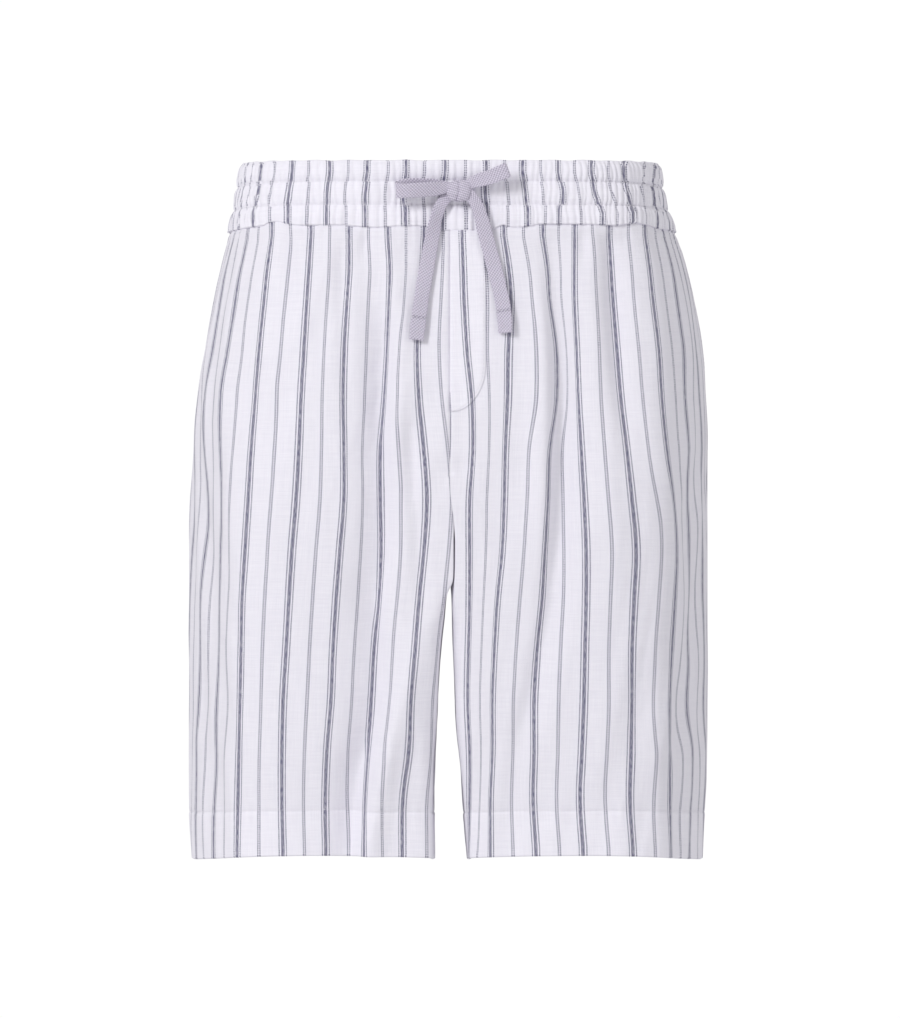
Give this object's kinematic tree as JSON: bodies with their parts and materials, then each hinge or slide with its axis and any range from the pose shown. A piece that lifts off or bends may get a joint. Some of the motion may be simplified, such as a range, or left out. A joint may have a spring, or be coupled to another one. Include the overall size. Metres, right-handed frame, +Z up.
{
  "type": "striped drawstring bermuda shorts",
  "caption": "Knee-length linen shorts filled out as if worn: elasticated waistband tied with a flat tape bow, mock fly, slant pocket mouths, straight legs with turned hems and an open waist.",
  "frame": {"origin": "middle of the waistband's opening, at half the height of the waistband", "axes": "+Z up, out of the waist; the front of the shorts faces -Y; +X is the wearer's left"},
  "size_m": [0.3961, 0.2629, 0.5248],
  "materials": {
    "linen": "matte",
    "drawstring": "matte"
  },
  "bodies": {
    "root": {"front_left": "linen", "front_right": "linen", "back_left": "linen", "back_right": "linen", "waistband_front_left": "linen", "waistband_front_right": "linen", "waistband_back_left": "linen", "waistband_back_right": "linen", "pocket_facing_left": "linen", "pocket_facing_right": "linen", "fly": "linen", "drawstring_knot": "drawstring", "drawstring_loop_left": "drawstring", "drawstring_loop_right": "drawstring", "drawstring_tail_left": "drawstring", "drawstring_tail_right": "drawstring"}
  },
  "joints": []
}
